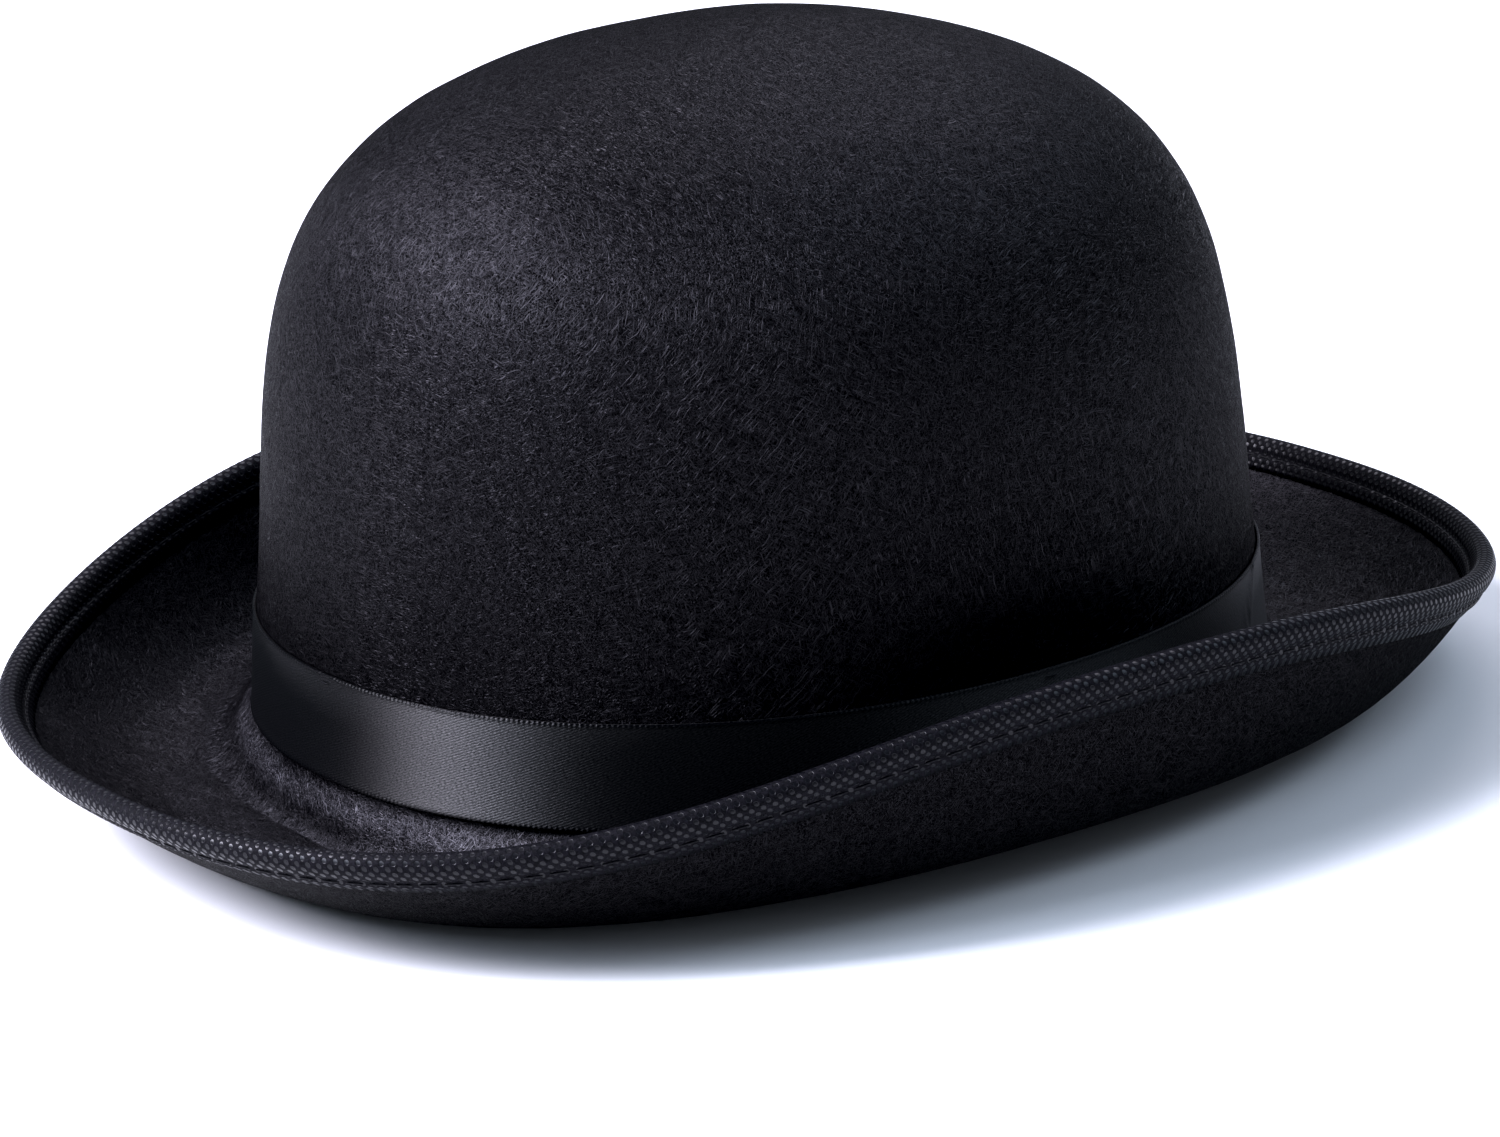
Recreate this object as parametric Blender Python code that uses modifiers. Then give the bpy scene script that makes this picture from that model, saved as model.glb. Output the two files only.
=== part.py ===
"""A bowler hat: a moulded felt crown and brim, with its edge binding, ribbon, sweatband and threads.

The front of the hat looks along -Y and the wearer's left is +X. The hat stands on the lowest parts of its
brim, at z = 0. Sizes are in millimetres, and the meshes are made in metres. Heights given as "above the
break" are measured from the line where the crown turns out into the brim.
"""

import math

import bmesh
import bpy
import numpy as np
from mathutils import Matrix, Vector

MM = 0.001
GAP = 0.3  # between sewn layers, so that no two solids touch

# The crown, measured outside at the break
CROWN_LENGTH = 202.0
CROWN_WIDTH = 178.0
CROWN_HEIGHT = 127.0
CROWN_FULLNESS = 2.14  # exponent of the plan oval: 2 is an ellipse, and more is squarer
CROWN_TAPER = 0.105  # how much narrower the wall would be at full height
SHOULDER_OUT = 1.95  # exponents of the side view's curve
SHOULDER_UP = 6.3

# The brim, measured at the top of its binding
BRIM_LENGTH = 302.0
BRIM_WIDTH = 236.0
BRIM_FULLNESS = 2.3
BRIM_RISE_ENDS = 9.8  # the edge above the break, at front and back
BRIM_RISE_SIDES = 28.7
BRIM_ROLL = 2.4  # how suddenly the edge rises towards the sides
BREAK_DROP = 2.0  # where the underside leaves the crown wall, below the break
BREAK_ABOVE_TABLE = 12.5
# Where the brim's curve is drawn to from the break and from the edge, as (front and back, sides)
BREAK_OUT = (8.6, 31.7)
BREAK_DOWN = (33.3, 17.3)
EDGE_OUT = (1.3, -7.0)
EDGE_DOWN = (4.2, 11.2)

FELT_THICKNESS = 2.2

# The edge binding: a tape folded over the felt's edge
BINDING_THICKNESS = 0.8
BINDING_LEG = 5.2  # how far each side reaches down from the felt's edge
BINDING_ARC_STEPS = 4
THREAD_THICKNESS = 0.5

# The ribbon
RIBBON_WIDTH = 20.0
RIBBON_BOTTOM = 0.3  # above the break
RIBBON_THICKNESS = 0.5
RIBBON_LAP = 14.0

# The sweatband and what is on it
SWEATBAND_WIDTH = 27.0
SWEATBAND_BOTTOM = 1.0
SWEATBAND_THICKNESS = 0.8
SWEATBAND_LAP = 12.0
SWEATBAND_SEAM = 2.6  # its thread above the break
SEAM_CLEAR_OF_LAP = 30.0
STRIP_WIDTH = 20.0
STRIP_BOTTOM = 6.0
STRIP_THICKNESS = 1.5
STRIP_LENGTH = 480.0
LABEL_WIDTH = 24.0
LABEL_HEIGHT = 16.0
LABEL_BOTTOM = 6.0
LABEL_THICKNESS = 0.4
LABEL_FROM_BACK = 22.0  # along the wall, towards the wearer's right

LABEL_SEAM = 1.0  # its thread above its lower edge

TACK_LENGTH = 3.0
LAP_SEAM_INSET = 1.6  # a lap's thread, in from the end that it holds
SEAM_SHORT = 2.0  # how far a thread stops short of each edge of what it holds

COLUMNS = 56  # facets round the hat
LEAST_FACET = 0.2  # of a column
CROWN_ROWS = 16
BRIM_ROWS = 11
FINE = 240  # steps used to measure a curve
FRONT, LEFT, BACK, RIGHT = 42, 0, 14, 28  # columns, counted from the wearer's left towards the back

COLLECTION = bpy.data.collections.new("bowler_hat")


def clear_scene():
    for thing in list(bpy.data.objects):
        bpy.data.objects.remove(thing, do_unlink=True)
    bpy.context.scene.collection.children.link(COLLECTION)


def material(name, colour, roughness, sheen=0.0):
    made = bpy.data.materials.new(name)
    made.use_nodes = True
    shader = made.node_tree.nodes["Principled BSDF"]
    shader.inputs["Base Color"].default_value = (*colour, 1.0)
    shader.inputs["Roughness"].default_value = roughness
    shader.inputs["Metallic"].default_value = 0.0
    shader.inputs["Sheen Weight"].default_value = sheen
    made.diffuse_color = (*colour, 1.0)
    return made


def add_object(name, mesh, look, smooth=True):
    mesh.materials.append(look)
    if smooth:
        mesh.shade_smooth()
    thing = bpy.data.objects.new(name, mesh)
    COLLECTION.objects.link(thing)
    return thing


def solidify(thing, thickness):
    """Gives an open skin its thickness on the side that its faces look to."""
    layer = thing.modifiers.new("thickness", "SOLIDIFY")
    layer.thickness = thickness * MM
    layer.offset = 1.0
    layer.use_even_offset = True
    layer.use_quality_normals = True


def to_world(point):
    """A point above the break, in millimetres, as a place above the table, in metres."""
    x, y, z = point
    return Vector((x, y, z + BREAK_ABOVE_TABLE)) * MM


# ---------------------------------------------------------------- curves of the hat


def column_angle(column):
    return 2 * math.pi * column / COLUMNS


def signed_power(value, exponent):
    return math.copysign(abs(value) ** exponent, value) if abs(value) > 1e-9 else 0.0


def oval(half_width, half_length, fullness, angle):
    x = half_width * signed_power(math.cos(angle), 2 / fullness)
    y = half_length * signed_power(math.sin(angle), 2 / fullness)
    return np.array([x, y, 0.0])


def crown_scale(height, full_height):
    """How wide the crown is at a height above the break, as a share of its width there."""
    part = min(max(height / full_height, 0.0), 1.0)
    return (1 - part**SHOULDER_UP) ** (1 / SHOULDER_OUT) * (1 - CROWN_TAPER * part)


def crown_point(column, height, outset):
    """The crown's wall at a whole or part column, moved outwards from its inside by outset."""
    inset = FELT_THICKNESS - outset
    low = math.floor(column)
    share = column - low
    scale = crown_scale(height, CROWN_HEIGHT - FELT_THICKNESS)
    half_width = CROWN_WIDTH / 2 * scale - inset
    half_length = CROWN_LENGTH / 2 * scale - inset
    near, far = (oval(half_width, half_length, CROWN_FULLNESS, column_angle(c)) for c in (low, low + 1))
    return near * (1 - share) + far * share + np.array([0, 0, height])


def crown_heights():
    """Heights of the crown's rings, evenly spaced along its side view, from the break to near the top."""
    top = CROWN_HEIGHT - FELT_THICKNESS
    turns = np.linspace(0, math.pi / 2, FINE)
    heights = top * np.sin(turns) ** (2 / SHOULDER_UP)
    widths = np.array([crown_scale(h, top) for h in heights]) * CROWN_LENGTH / 2
    run = np.concatenate([[0], np.cumsum(np.hypot(np.diff(heights), np.diff(widths)))])
    return np.interp(np.linspace(0, run[-1], CROWN_ROWS + 1)[:-1], run, heights)


def crown_top_point():
    return np.array([0, 0, CROWN_HEIGHT - FELT_THICKNESS])


def mix(pair, sideness):
    return pair[0] * (1 - sideness) + pair[1] * sideness


def brim_curve(column):
    """The underside of the brim at one column, as a fine run of points from the break to the edge's top."""
    angle = column_angle(column)
    sideness = math.cos(angle) ** 2
    outward = np.array([math.cos(angle), math.sin(angle), 0.0])
    up = np.array([0.0, 0.0, 1.0])
    inset = FELT_THICKNESS
    start = oval(CROWN_WIDTH / 2 - inset, CROWN_LENGTH / 2 - inset, CROWN_FULLNESS, angle)
    start -= up * BREAK_DROP
    end = oval(BRIM_WIDTH / 2, BRIM_LENGTH / 2, BRIM_FULLNESS, angle)
    end += up * mix((BRIM_RISE_ENDS, BRIM_RISE_SIDES), sideness**BRIM_ROLL)
    leave = start + outward * mix(BREAK_OUT, sideness) - up * (mix(BREAK_DOWN, sideness) - BREAK_DROP)
    arrive = end + outward * mix(EDGE_OUT, sideness) - up * mix(EDGE_DOWN, sideness)
    s = np.linspace(0, 1, FINE)[:, None]
    return (1 - s) ** 3 * start + 3 * s * (1 - s) ** 2 * leave + 3 * s**2 * (1 - s) * arrive + s**3 * end


class Brim:
    """The brim's underside at every column, with its directions, measured back from the top of the edge."""

    def __init__(self):
        self.points = np.array([brim_curve(c) for c in range(COLUMNS)])
        steps = np.linalg.norm(np.diff(self.points, axis=1), axis=2)
        run = np.concatenate([np.zeros((COLUMNS, 1)), np.cumsum(steps, axis=1)], axis=1)
        self.length = run[:, -1]
        self.back_from_edge = self.length[:, None] - run
        self.along = np.gradient(self.points, axis=1)
        around = np.roll(self.points, -1, axis=0) - np.roll(self.points, 1, axis=0)
        self.normals = np.cross(self.along, around)
        self.along /= np.linalg.norm(self.along, axis=2, keepdims=True)
        self.normals /= np.linalg.norm(self.normals, axis=2, keepdims=True)

    def read(self, values, column, distance):
        back = self.back_from_edge[column][::-1]
        return np.array([np.interp(distance, back, values[column][::-1, axis]) for axis in range(3)])

    def place(self, column, distance, height):
        """A point at a distance back from the felt's edge, and a height above the middle of the felt."""
        from_top = distance + binding_reach()
        point = self.read(self.points, column, from_top)
        normal = self.read(self.normals, column, from_top)
        return point + normal / np.linalg.norm(normal) * (height + FELT_THICKNESS / 2)

    def round_edge(self, column, radius, turn):
        """A point on the arc round the felt's edge: turn is -90 degrees below and 90 degrees above."""
        centre = self.place(column, 0.0, 0.0)
        normal = self.read(self.normals, column, binding_reach())
        along = self.read(self.along, column, binding_reach())
        return centre + along * radius * math.cos(turn) + normal * radius * math.sin(turn)


def binding_reach():
    """How far the binding stands out past the felt's edge."""
    return FELT_THICKNESS / 2 + GAP + BINDING_THICKNESS


# ---------------------------------------------------------------- ways of making a mesh


def grid_mesh(name, rows, closed, pole=None):
    """A skin of quads through rows of points. Rows may close on themselves, and a pole the first row."""
    build = bmesh.new()
    rings = [[build.verts.new(to_world(point)) for point in row] for row in rows]
    count = len(rings[0])
    spans = range(count) if closed else range(count - 1)
    for lower, upper in zip(rings, rings[1:]):
        for i in spans:
            j = (i + 1) % count
            build.faces.new((lower[i], lower[j], upper[j], upper[i]))
    if pole is not None:
        top = build.verts.new(to_world(pole))
        for i in spans:
            build.faces.new((top, rings[0][(i + 1) % count], rings[0][i]))
    mesh = bpy.data.meshes.new(name)
    build.normal_update()
    build.to_mesh(mesh)
    build.free()
    return mesh


def ring_mesh(name, sections):
    """A closed ring through closed sections, one at each column."""
    build = bmesh.new()
    loops = [[build.verts.new(to_world(point)) for point in section] for section in sections]
    for near, far in zip(loops, loops[1:] + loops[:1]):
        for i in range(len(near)):
            j = (i + 1) % len(near)
            build.faces.new((near[i], near[j], far[j], far[i]))
    bmesh.ops.recalc_face_normals(build, faces=build.faces)
    mesh = bpy.data.meshes.new(name)
    build.to_mesh(mesh)
    build.free()
    return mesh


def thread_block(name, look, place, length):
    """A straight stretch of thread, given its middle, its direction and the way it faces."""
    middle, direction, facing = place
    along = Vector(direction).normalized()
    across = Vector(facing).normalized().cross(along).normalized()
    turn = Matrix((along, across, along.cross(across))).transposed().to_4x4()
    bpy.ops.mesh.primitive_cube_add(size=1.0)
    thing = bpy.context.object
    thing.name = name
    thing.data.name = name
    thing.data.materials.append(look)
    thing.matrix_world = Matrix.Translation(to_world(middle)) @ turn
    thing.scale = Vector((length, THREAD_THICKNESS, THREAD_THICKNESS)) * MM
    for other in thing.users_collection:
        other.objects.unlink(thing)
    COLLECTION.objects.link(thing)


# ---------------------------------------------------------------- strips that run round the crown


def wall_run(outset, height):
    """Distance along the wall from column 0 to each whole column."""
    points = [crown_point(c, height, outset) for c in range(COLUMNS + 1)]
    return np.concatenate([[0], np.cumsum([np.linalg.norm(b - a) for a, b in zip(points, points[1:])])])


def column_at(start, distance, outset, height):
    """The part column that lies a distance along the wall from a start column."""
    run = wall_run(outset, height)
    turns, rest = divmod(np.interp(start % COLUMNS, range(COLUMNS + 1), run) + distance, run[-1])
    return COLUMNS * (turns + start // COLUMNS) + float(np.interp(rest, run, range(COLUMNS + 1)))


def strip_columns(first, last):
    """The columns between a strip's ends, with the ends, and none so near an end as to make a sliver."""
    inner = [float(c) for c in range(math.ceil(first + LEAST_FACET), math.floor(last - LEAST_FACET) + 1)]
    return [first, *inner, last]


def lapped_strip(name, look, middle, lap, outset, outward, bottom, width, thickness):
    """A strip once round the wall, its last stretch over its start. Outward is 1 outside and -1 inside."""
    first = column_at(middle, -lap / 2, outset, bottom)
    last = column_at(middle + COLUMNS, lap / 2, outset, bottom)
    columns = strip_columns(first, last)
    over = first + COLUMNS - LEAST_FACET  # from here on it lies over its start
    step = (thickness + GAP) * outward
    rows = []
    for height in (bottom, bottom + width):
        row = []
        for column in sorted({*columns, over, over - 1.0}):
            lift = step * min(max(column - (over - 1.0), 0.0), 1.0)
            row.append(crown_point(column, height, outset + lift))
        rows.append(row if outward > 0 else row[::-1])
    thing = add_object(name, grid_mesh(name, rows, closed=False), look)
    solidify(thing, thickness)
    return thing


def open_strip(name, look, ends, outset, bottom, width, thickness):
    """A strip part way round the inside of the wall, with its thickness towards the head."""
    columns = strip_columns(*ends)[::-1]
    edges = (bottom, bottom + width)
    rows = [[crown_point(column, height, outset) for column in columns] for height in edges]
    thing = add_object(name, grid_mesh(name, rows, closed=False), look)
    solidify(thing, thickness)
    return thing


def wall_place(column, height, outset, upright):
    """A place for thread on the wall: its middle, its direction, along the wall or up, and its facing."""
    middle = crown_point(column, height, outset)
    along = crown_point(column + 0.1, height, outset) - crown_point(column - 0.1, height, outset)
    up = crown_point(column, height + 1, outset) - middle
    return middle, (up if upright else along), np.cross(along, up)


# ---------------------------------------------------------------- the pieces


def make_felt(brim, look):
    """Crown and brim in one skin, along the inside of the crown and the underside of the brim."""
    rows = [[crown_point(c, height, 0.0) for c in range(COLUMNS)] for height in crown_heights()[::-1]]
    leg_top = binding_reach() + BINDING_LEG
    for step in range(BRIM_ROWS):
        share = step / BRIM_ROWS
        distances = [brim.length[c] * (1 - share) + leg_top * share for c in range(COLUMNS)]
        rows.append([brim.read(brim.points, c, distances[c]) for c in range(COLUMNS)])
    for back in (BINDING_LEG, BINDING_LEG / 2, 0.0):
        rows.append([brim.place(c, back, -FELT_THICKNESS / 2) for c in range(COLUMNS)])
    floor = -BREAK_ABOVE_TABLE
    rows = [[np.array([x, y, max(z, floor)]) for x, y, z in row] for row in rows]
    skin = grid_mesh("felt_body", [row[::-1] for row in rows], True, crown_top_point())
    solidify(add_object("felt_body", skin, look), FELT_THICKNESS)


def make_binding(brim, look):
    """The tape folded over the felt's edge, as a closed channel."""
    outer = binding_reach()
    inner = outer - BINDING_THICKNESS
    sections = []
    for c in range(COLUMNS):
        section = []
        for radius, steps, way in ((outer, BINDING_ARC_STEPS, 1), (inner, BINDING_ARC_STEPS // 2, -1)):
            side = [brim.place(c, back, -way * radius) for back in (BINDING_LEG, BINDING_LEG / 2)]
            turns = [way * math.pi * (i / steps - 0.5) for i in range(steps + 1)]
            section += side + [brim.round_edge(c, radius, turn) for turn in turns]
            section += [brim.place(c, back, way * radius) for back in (BINDING_LEG / 2, BINDING_LEG)]
        sections.append(section)
    add_object("edge_binding", ring_mesh("edge_binding", sections), look)


def make_binding_thread(brim, name, look, side):
    """The row of thread on one face of the binding. Side is 1 on the upper face and -1 underneath."""
    near = side * (binding_reach() + GAP)
    far = side * (binding_reach() + GAP + THREAD_THICKNESS)
    back = BINDING_LEG / 2
    half = THREAD_THICKNESS / 2
    corners = ((back + half, near), (back - half, near), (back - half, far), (back + half, far))
    sections = [[brim.place(c, *corner) for corner in corners] for c in range(COLUMNS)]
    add_object(name, ring_mesh(name, sections), look)


def make_band(ribbon_look, thread_look):
    outset = FELT_THICKNESS + GAP
    size = (RIBBON_BOTTOM, RIBBON_WIDTH, RIBBON_THICKNESS)
    lapped_strip("hat_band", ribbon_look, RIGHT, RIBBON_LAP, outset, 1, *size)
    on_band = outset + RIBBON_THICKNESS + GAP + THREAD_THICKNESS / 2
    on_lap = on_band + RIBBON_THICKNESS + GAP
    lap_end = column_at(RIGHT, RIBBON_LAP / 2 - LAP_SEAM_INSET, outset, RIBBON_BOTTOM)
    middle = RIBBON_BOTTOM + RIBBON_WIDTH / 2
    place = wall_place(lap_end, middle, on_lap, True)
    thread_block("band_lap_thread", thread_look, place, RIBBON_WIDTH - 2 * SEAM_SHORT)
    top = RIBBON_BOTTOM + RIBBON_WIDTH - LAP_SEAM_INSET
    for name, column in (("front", FRONT), ("left", LEFT), ("back", BACK)):
        thread_block(f"band_tack_{name}", thread_look, wall_place(column, top, on_band, False), TACK_LENGTH)


def make_sweatband(cloth_look, thread_look):
    size = (SWEATBAND_BOTTOM, SWEATBAND_WIDTH, SWEATBAND_THICKNESS)
    lapped_strip("sweatband", cloth_look, BACK, SWEATBAND_LAP, -GAP, -1, *size)
    face = -GAP - SWEATBAND_THICKNESS
    lapped_face = face - GAP - SWEATBAND_THICKNESS
    near = face - GAP
    low, high = SWEATBAND_SEAM - THREAD_THICKNESS / 2, SWEATBAND_SEAM + THREAD_THICKNESS / 2
    # The thread runs from clear of one side of the lap round to clear of the other.
    start = column_at(BACK, SEAM_CLEAR_OF_LAP, -GAP, SWEATBAND_SEAM)
    stop = column_at(BACK + COLUMNS, -SEAM_CLEAR_OF_LAP, -GAP, SWEATBAND_SEAM)
    rows = [[crown_point(c, h, near) for c in strip_columns(start, stop)][::-1] for h in (low, high)]
    name = "sweatband_thread"
    solidify(add_object(name, grid_mesh(name, rows, False), thread_look), THREAD_THICKNESS)
    end = column_at(BACK, SWEATBAND_LAP / 2 - LAP_SEAM_INSET, -GAP, SWEATBAND_BOTTOM)
    on_lap = lapped_face - GAP - THREAD_THICKNESS / 2
    place = wall_place(end, SWEATBAND_BOTTOM + SWEATBAND_WIDTH / 2, on_lap, True)
    thread_block("sweatband_lap_thread", thread_look, place, SWEATBAND_WIDTH - 2 * SEAM_SHORT)


def make_strip_and_label(strip_look, label_look, thread_look):
    outset = -2 * GAP - SWEATBAND_THICKNESS
    first = column_at(FRONT, -STRIP_LENGTH / 2, outset, STRIP_BOTTOM)
    last = column_at(FRONT, STRIP_LENGTH / 2, outset, STRIP_BOTTOM)
    open_strip("sizing_strip", strip_look, (first, last), outset, STRIP_BOTTOM, STRIP_WIDTH, STRIP_THICKNESS)
    middle = column_at(BACK, LABEL_FROM_BACK, outset, LABEL_BOTTOM)
    half = LABEL_WIDTH / 2
    ends = [column_at(middle, side * half, outset, LABEL_BOTTOM) for side in (-1, 1)]
    open_strip("care_label", label_look, ends, outset, LABEL_BOTTOM, LABEL_HEIGHT, LABEL_THICKNESS)
    on_label = outset - LABEL_THICKNESS - GAP
    ends = [column_at(middle, side * (half - SEAM_SHORT), outset, LABEL_BOTTOM) for side in (-1, 1)]
    low = LABEL_BOTTOM + LABEL_SEAM
    open_strip("care_label_thread", thread_look, ends, on_label, low, THREAD_THICKNESS, THREAD_THICKNESS)


def main():
    clear_scene()
    felt = material("black_felt", (0.018, 0.017, 0.019), 0.95, sheen=0.4)
    binding = material("black_woven_tape", (0.016, 0.017, 0.022), 0.55)
    binding_thread = material("black_binding_thread", (0.02, 0.02, 0.022), 0.6)
    under_thread = material("black_bobbin_thread", (0.02, 0.02, 0.022), 0.6)
    satin = material("black_satin", (0.010, 0.012, 0.016), 0.3)
    tack_thread = material("black_tack_thread", (0.015, 0.015, 0.017), 0.6)
    cloth = material("black_sweatband_cloth", (0.022, 0.021, 0.021), 0.7)
    seam_thread = material("black_seam_thread", (0.03, 0.03, 0.03), 0.6)
    foam = material("white_velour_foam", (0.86, 0.86, 0.85), 0.95, sheen=0.5)
    label = material("white_label_satin", (0.8, 0.8, 0.79), 0.5)
    label_thread = material("white_label_thread", (0.75, 0.75, 0.74), 0.6)
    brim = Brim()
    make_felt(brim, felt)
    make_binding(brim, binding)
    make_binding_thread(brim, "binding_needle_thread", binding_thread, 1)
    make_binding_thread(brim, "binding_bobbin_thread", under_thread, -1)
    make_band(satin, tack_thread)
    make_sweatband(cloth, seam_thread)
    make_strip_and_label(foam, label, label_thread)


main()
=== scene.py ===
import math

import bpy
import numpy as np
from mathutils import Matrix, Vector, noise


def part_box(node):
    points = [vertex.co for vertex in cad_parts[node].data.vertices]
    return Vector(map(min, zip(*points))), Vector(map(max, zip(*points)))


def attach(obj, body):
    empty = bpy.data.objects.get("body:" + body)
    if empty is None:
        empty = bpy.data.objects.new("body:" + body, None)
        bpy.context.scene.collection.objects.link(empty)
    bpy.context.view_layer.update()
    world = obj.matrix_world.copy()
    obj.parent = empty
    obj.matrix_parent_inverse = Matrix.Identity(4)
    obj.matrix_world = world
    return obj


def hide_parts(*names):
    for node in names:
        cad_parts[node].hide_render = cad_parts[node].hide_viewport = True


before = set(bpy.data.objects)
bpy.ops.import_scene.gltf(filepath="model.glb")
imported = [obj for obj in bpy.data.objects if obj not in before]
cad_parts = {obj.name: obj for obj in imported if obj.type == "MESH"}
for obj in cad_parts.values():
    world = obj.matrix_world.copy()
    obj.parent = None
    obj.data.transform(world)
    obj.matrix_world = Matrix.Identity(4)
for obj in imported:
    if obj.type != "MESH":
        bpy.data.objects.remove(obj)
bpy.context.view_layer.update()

# ---------------------------------------------------------------- sizes, from the frame where it holds them

MM = 0.001
GAP = 0.3 * MM  # what the CAD leaves between sewn layers
FELT, RIBBON, BINDING = 2.2 * MM, 0.5 * MM, 0.8 * MM  # thicknesses
BINDING_PAST = 0.47 * MM  # how far the binding stands out past the brim's oval at the front and the back


def node_box(node):
    """The low and high corners of a CAD node's box."""
    return [np.array(corner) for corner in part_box(node)]


band_low, band_high = node_box("hat_band")
_, felt_high = node_box("felt_body")
_, edge_high = node_box("edge_binding")

BREAK = band_low[2] - GAP  # the height of the line where the crown turns out into the brim
CROWN_HALF = band_high[:2] - RIBBON - GAP  # half of its outside width and length at its foot
CROWN_HEIGHT = felt_high[2] - BREAK
CROWN_FULLNESS = 2.14  # 2 is an ellipse, and more is squarer
CROWN_TAPER = 0.105
SHOULDER_OUT, SHOULDER_UP = 1.95, 6.3  # exponents of the crown's profile
BRIM_HALF = np.array([edge_high[0], edge_high[1] - BINDING_PAST])
BRIM_FULLNESS = 2.3
BRIM_RISE = (9.8 * MM, 28.7 * MM)  # of the edge above the break: (front and back, sides)
BRIM_ROLL = 2.4  # the more, the nearer to the sides the rise starts
BREAK_DROP = 2.0 * MM  # how far below the break the underside's curve starts
# The handles of that curve at the break and at the edge, outwards and down: (front and back, sides)
BREAK_OUT = (8.6 * MM, 31.7 * MM)
BREAK_DOWN = (33.3 * MM, 17.3 * MM)
EDGE_OUT = (1.3 * MM, -7.0 * MM)
EDGE_DOWN = (4.2 * MM, 11.2 * MM)
REACH = FELT / 2 + GAP + BINDING  # from the middle of the felt's edge to the binding's outside
LEG = 5.2 * MM  # how far each side of the binding reaches in from there
FRONT, BACK, RIGHT = -math.pi / 2, math.pi / 2, math.pi  # angles round the hat, as its wearer sees them
BRIM_SAMPLES, WALL_SAMPLES, EDGE_SAMPLES, PROFILE_SAMPLES = 200, 2000, 4000, 1000


# ---------------------------------------------------------------- the hat's surfaces

def signed_power(values, exponent):
    return np.sign(values) * np.abs(values) ** exponent


def running_length(points, axis=0):
    """The length along lines of points, from 0 at the first point of each."""
    steps = np.linalg.norm(np.diff(points, axis=axis), axis=-1)
    return np.concatenate([np.zeros_like(steps.take([0], axis)), np.cumsum(steps, axis=axis)], axis=axis)


def oval(half, fullness, angles):
    x = half[0] * signed_power(np.cos(angles), 2 / fullness)
    y = half[1] * signed_power(np.sin(angles), 2 / fullness)
    return np.stack([x, y, np.zeros_like(x)], axis=-1)


def crown_scale(height, full_height):
    part = min(max(height / full_height, 0.0), 1.0)
    return (1 - part**SHOULDER_UP) ** (1 / SHOULDER_OUT) * (1 - CROWN_TAPER * part)


def wall(angles, height, outset):
    """The crown's wall at a height above the break, moved outwards from its inside by outset."""
    half = CROWN_HALF * crown_scale(height, CROWN_HEIGHT - FELT) - FELT
    rings = oval(half, CROWN_FULLNESS, angles)
    tangents = np.gradient(rings, axis=0) if len(angles) > 2 else rings
    out = np.stack([tangents[:, 1], -tangents[:, 0], np.zeros(len(angles))], axis=-1)
    out /= np.linalg.norm(out, axis=1, keepdims=True)
    rings = rings + out * np.reshape(outset, (-1, 1))
    rings[:, 2] = BREAK + height
    return rings


def wall_angles(count, start=0.0, turns=1.0):
    """Angles evenly spaced along the wall for some turns from a start angle, and the length of one turn."""
    fine = np.linspace(start, start + 2 * math.pi, WALL_SAMPLES)
    run = running_length(oval(CROWN_HALF, CROWN_FULLNESS, fine))
    whole = run[-1]
    laps, rest = np.divmod(np.linspace(0, whole * turns, count), whole)
    return np.interp(rest, run, fine) + laps * 2 * math.pi, whole


GIRTH = wall_angles(2)[1]  # of the wall at its foot


def angle_at(start, run):
    """The angle at a distance along the wall from a start angle."""
    return wall_angles(2, start, run / GIRTH)[0][-1]


def brim_curves(angles):
    """The underside of the brim at each angle, as fine runs of points from the break to the edge's top."""
    sideness = np.cos(angles) ** 2
    outward = np.stack([np.cos(angles), np.sin(angles), np.zeros_like(angles)], axis=-1)
    up = np.array([0.0, 0.0, 1.0])

    def mix(pair, share):
        return (pair[0] * (1 - share) + pair[1] * share)[:, None]

    start = oval(CROWN_HALF - FELT, CROWN_FULLNESS, angles) + up * (BREAK - BREAK_DROP)
    end = oval(BRIM_HALF, BRIM_FULLNESS, angles) + up * (BREAK + mix(BRIM_RISE, sideness**BRIM_ROLL))
    leave = start + outward * mix(BREAK_OUT, sideness) - up * (mix(BREAK_DOWN, sideness) - BREAK_DROP)
    arrive = end + outward * mix(EDGE_OUT, sideness) - up * mix(EDGE_DOWN, sideness)
    s = np.linspace(0, 1, BRIM_SAMPLES)[None, :, None]
    start, leave, arrive, end = (p[:, None, :] for p in (start, leave, arrive, end))
    return (1 - s) ** 3 * start + 3 * s * (1 - s) ** 2 * leave + 3 * s**2 * (1 - s) * arrive + s**3 * end


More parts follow.
